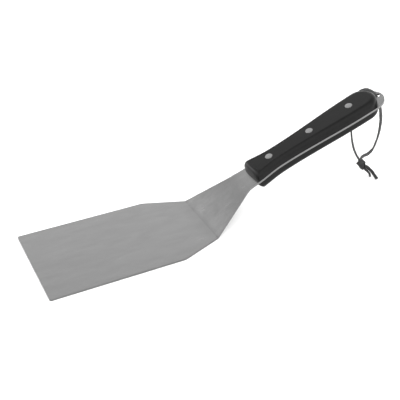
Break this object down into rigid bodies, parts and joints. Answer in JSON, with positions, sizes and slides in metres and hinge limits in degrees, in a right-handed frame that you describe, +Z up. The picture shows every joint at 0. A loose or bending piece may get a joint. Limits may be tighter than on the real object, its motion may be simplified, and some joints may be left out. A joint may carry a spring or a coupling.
{
  "type": "grill spatula",
  "caption": "Grill turner with a flat steel blade, cranked neck, full tang between riveted black handle scales, and a knotted leather lanyard through the eye at the butt.",
  "frame": {"origin": "on the surface that the blade lies on, under the middle of the turner's length and width", "axes": "+X from the blade's front edge towards the butt, +Y towards the side that the lanyard hangs on, +Z up out of the blade"},
  "size_m": [0.3352, 0.09, 0.0856],
  "materials": {
    "blade_steel": "satin rolled sheet",
    "scale_black": "satin",
    "rivet_steel": "ground flush",
    "lace_leather": "matt, dyed through"
  },
  "bodies": {
    "turner": {"blade": "blade_steel", "upper_scale": "scale_black", "lower_scale": "scale_black", "front_rivet_pin": "rivet_steel", "front_rivet_socket": "rivet_steel", "middle_rivet_pin": "rivet_steel", "middle_rivet_socket": "rivet_steel", "rear_rivet_pin": "rivet_steel", "rear_rivet_socket": "rivet_steel", "lanyard_bight": "lace_leather"},
    "lanyard": {"lanyard_near_strand": "lace_leather", "lanyard_far_strand": "lace_leather", "lanyard_knot": "lace_leather", "lanyard_long_tail": "lace_leather", "lanyard_short_tail": "lace_leather"}
  },
  "joints": [
    {"name": "lanyard_swing", "type": "hinge", "parent": "turner", "child": "lanyard", "pos_m": [0.16311, 0, 0.07594], "axis": [0.6306, -0.7761, 0], "range_deg": [-15, 60]}
  ]
}
